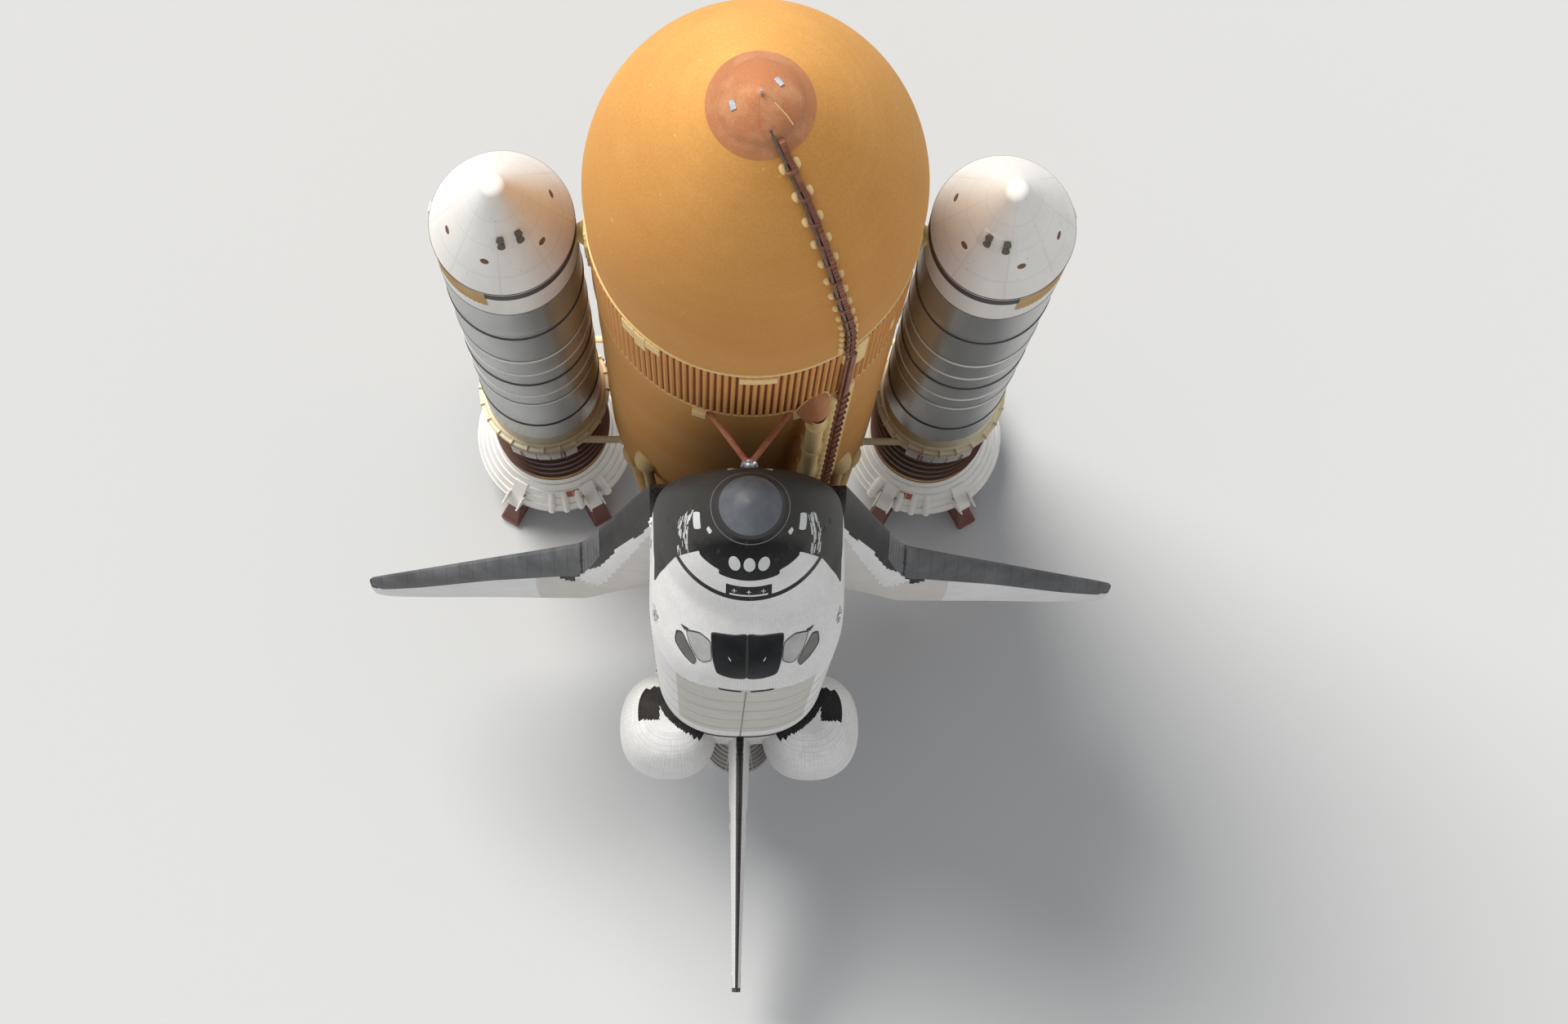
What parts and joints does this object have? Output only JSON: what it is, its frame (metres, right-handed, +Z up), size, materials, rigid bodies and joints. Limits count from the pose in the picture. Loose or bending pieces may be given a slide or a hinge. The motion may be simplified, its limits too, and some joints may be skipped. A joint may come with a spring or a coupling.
{
  "type": "space shuttle, 1:2 scale model",
  "caption": "Winged orbiter on a foam covered tank between solid boosters, standing nose up on hold-down posts, with opening bay doors and moving control surfaces and engines.",
  "frame": {"origin": "middle of the bounding box's base, on the ground under the hold-down posts", "axes": "+Z up along the tank towards its nose; -Y from the tank towards the orbiter's back; +X to the orbiter's starboard"},
  "size_m": [11.8948, 11.7249, 28.2384],
  "materials": {
    "tank_foam": "sprayed insulating foam, orange brown, matt and mottled",
    "foam_trim": "moulded and poured foam, cream to tan, matt",
    "primer": "red brown heat resistant coating, matt",
    "booster_white": "white paint over cork, satin",
    "booster_casing": "white grey paint on steel, satin",
    "booster_nozzle": "carbon cloth and cork, dark and matt",
    "cast_post": "cast steel under dark red paint, scorched",
    "engine_metal": "heat tinted alloy",
    "reinforced_carbon": "reinforced carbon, dark grey, satin",
    "white_tile": "silica tiles with white and black coating",
    "white_blanket": "quilted silica blanket and felt, white, matt",
    "wing_tile": "white blanket above and black tiles below",
    "black_tile": "silica tiles with black glass coating",
    "window_glass": "dark layered glass",
    "rudder_steel": "machined alloy"
  },
  "bodies": {
    "stack": {"aft_attachment": "foam_trim", "aft_body": "white_tile", "aft_skirt_left": "booster_white", "aft_skirt_right": "booster_white", "bipod": "primer", "booster_case_left": "booster_casing", "booster_case_right": "booster_casing", "booster_nose_left": "booster_white", "booster_nose_right": "booster_white", "booster_ring_left": "booster_white", "booster_ring_right": "booster_white", "fin": "white_blanket", "forward_body": "white_tile", "hold_down_post_left_1": "cast_post", "hold_down_post_left_2": "cast_post", "hold_down_post_left_3": "cast_post", "hold_down_post_left_4": "cast_post", "hold_down_post_right_1": "cast_post", "hold_down_post_right_2": "cast_post", "hold_down_post_right_3": "cast_post", "hold_down_post_right_4": "cast_post", "hydrogen_tank": "tank_foam", "intertank": "tank_foam", "lower_line_tray": "foam_trim", "middle_body": "white_blanket", "nose_cap": "reinforced_carbon", "oxygen_feedline": "foam_trim", "oxygen_tank": "tank_foam", "pod_left": "white_blanket", "pod_right": "white_blanket", "tank_nose_cap": "primer", "upper_line_tray": "primer", "windows_left": "window_glass", "windows_right": "window_glass", "wing_left": "wing_tile", "wing_right": "wing_tile"},
    "bay_door_left": {"bay_door_left": "white_blanket"},
    "bay_door_right": {"bay_door_right": "white_blanket"},
    "body_flap": {"body_flap": "black_tile"},
    "booster_nozzle_left": {"booster_nozzle_left": "booster_nozzle"},
    "booster_nozzle_right": {"booster_nozzle_right": "booster_nozzle"},
    "crew_hatch": {"crew_hatch": "white_tile"},
    "elevon_inboard_left": {"elevon_inboard_left": "wing_tile"},
    "elevon_inboard_right": {"elevon_inboard_right": "wing_tile"},
    "elevon_outboard_left": {"elevon_outboard_left": "wing_tile"},
    "elevon_outboard_right": {"elevon_outboard_right": "wing_tile"},
    "main_engine_left": {"main_engine_left": "engine_metal"},
    "main_engine_right": {"main_engine_right": "engine_metal"},
    "main_engine_top": {"main_engine_top": "engine_metal"},
    "main_gear_door_left": {"main_gear_door_left": "black_tile"},
    "main_gear_door_right": {"main_gear_door_right": "black_tile"},
    "nose_gear_door_left": {"nose_gear_door_left": "black_tile"},
    "nose_gear_door_right": {"nose_gear_door_right": "black_tile"},
    "pod_engine_left": {"pod_engine_left": "engine_metal"},
    "pod_engine_right": {"pod_engine_right": "engine_metal"},
    "rudder_panel_left": {"rudder_panel_left": "white_blanket"},
    "rudder_panel_right": {"rudder_panel_right": "white_blanket"},
    "rudder": {"rudder_tube": "rudder_steel"}
  },
  "joints": [
    {"name": "bay_door_left_hinge", "type": "hinge", "parent": "stack", "child": "bay_door_left", "pos_m": [-1.33096, -0.79946, 10.92835], "axis": [0, 0, -1], "range_deg": [0, 175.5]},
    {"name": "bay_door_right_hinge", "type": "hinge", "parent": "stack", "child": "bay_door_right", "pos_m": [1.33096, -0.79946, 10.92835], "axis": [0, 0, 1], "range_deg": [0, 175.5]},
    {"name": "elevon_inboard_left_hinge", "type": "hinge", "parent": "stack", "child": "elevon_inboard_left", "pos_m": [-1.51765, 0.79885, 5.3086], "axis": [0.9979, 0.0645, 0], "range_deg": [-35, 20]},
    {"name": "elevon_outboard_left_hinge", "type": "hinge", "parent": "stack", "child": "elevon_outboard_left", "pos_m": [-4.0005, 0.6394, 5.3086], "axis": [0.9993, 0.0386, 0], "range_deg": [-35, 20]},
    {"name": "elevon_inboard_right_hinge", "type": "hinge", "parent": "stack", "child": "elevon_inboard_right", "pos_m": [1.51765, 0.79885, 5.3086], "axis": [0.9979, -0.0645, 0], "range_deg": [-35, 20]},
    {"name": "elevon_outboard_right_hinge", "type": "hinge", "parent": "stack", "child": "elevon_outboard_right", "pos_m": [4.0005, 0.6394, 5.3086], "axis": [0.9993, -0.0386, 0], "range_deg": [-35, 20]},
    {"name": "body_flap_hinge", "type": "hinge", "parent": "stack", "child": "body_flap", "pos_m": [0, 0.88329, 3.5179], "axis": [1, 0, 0], "range_deg": [-11.7, 22.55]},
    {"name": "rudder_hinge", "type": "hinge", "parent": "stack", "child": "rudder", "pos_m": [0, -3.17436, 3.72784], "axis": [0, 0.8208, 0.5712], "range_deg": [-27.1, 27.1]},
    {"name": "rudder_panel_left_hinge", "type": "hinge", "parent": "rudder", "child": "rudder_panel_left", "pos_m": [0, -3.17436, 3.72784], "axis": [0, 0.8208, 0.5712], "range_deg": [0, 49.3]},
    {"name": "rudder_panel_right_hinge", "type": "hinge", "parent": "rudder", "child": "rudder_panel_right", "pos_m": [0, -3.17436, 3.72784], "axis": [0, -0.8208, -0.5712], "range_deg": [0, 49.3]},
    {"name": "main_engine_top_gimbal", "type": "hinge", "parent": "stack", "child": "main_engine_top", "pos_m": [0, -1.09156, 4.572], "axis": [1, 0, 0], "range_deg": [-10.5, 10.5]},
    {"name": "main_engine_left_gimbal", "type": "hinge", "parent": "stack", "child": "main_engine_left", "pos_m": [-0.6731, 0.18351, 4.2799], "axis": [1, 0, 0], "range_deg": [-10.5, 10.5]},
    {"name": "main_engine_right_gimbal", "type": "hinge", "parent": "stack", "child": "main_engine_right", "pos_m": [0.6731, 0.18351, 4.2799], "axis": [1, 0, 0], "range_deg": [-10.5, 10.5]},
    {"name": "pod_engine_left_gimbal", "type": "hinge", "parent": "stack", "child": "pod_engine_left", "pos_m": [-1.1176, -1.63766, 3.7211], "axis": [1, 0, 0], "range_deg": [-6, 6]},
    {"name": "booster_nozzle_left_gimbal", "type": "hinge", "parent": "stack", "child": "booster_nozzle_left", "pos_m": [-3.18135, 3.72809, 1.7907], "axis": [1, 0, 0], "range_deg": [-8, 8]},
    {"name": "pod_engine_right_gimbal", "type": "hinge", "parent": "stack", "child": "pod_engine_right", "pos_m": [1.1176, -1.63766, 3.7211], "axis": [1, 0, 0], "range_deg": [-6, 6]},
    {"name": "booster_nozzle_right_gimbal", "type": "hinge", "parent": "stack", "child": "booster_nozzle_right", "pos_m": [3.18135, 3.72809, 1.7907], "axis": [1, 0, 0], "range_deg": [-8, 8]},
    {"name": "crew_hatch_hinge", "type": "hinge", "parent": "stack", "child": "crew_hatch", "pos_m": [-1.32842, 0.37529, 16.4973], "axis": [0, 0, -1], "range_deg": [0, 90]},
    {"name": "nose_gear_door_left_hinge", "type": "hinge", "parent": "stack", "child": "nose_gear_door_left", "pos_m": [-0.254, 0.76014, 19.1389], "axis": [0, -0.1331, 0.9911], "range_deg": [0, 90]},
    {"name": "main_gear_door_left_hinge", "type": "hinge", "parent": "stack", "child": "main_gear_door_left", "pos_m": [-2.15138, 0.88864, 8.79475], "axis": [0, 0, 1], "range_deg": [0, 95]},
    {"name": "nose_gear_door_right_hinge", "type": "hinge", "parent": "stack", "child": "nose_gear_door_right", "pos_m": [0.254, 0.76014, 19.1389], "axis": [0, 0.1331, -0.9911], "range_deg": [0, 90]},
    {"name": "main_gear_door_right_hinge", "type": "hinge", "parent": "stack", "child": "main_gear_door_right", "pos_m": [2.15138, 0.88864, 8.79475], "axis": [0, 0, -1], "range_deg": [0, 95]}
  ]
}
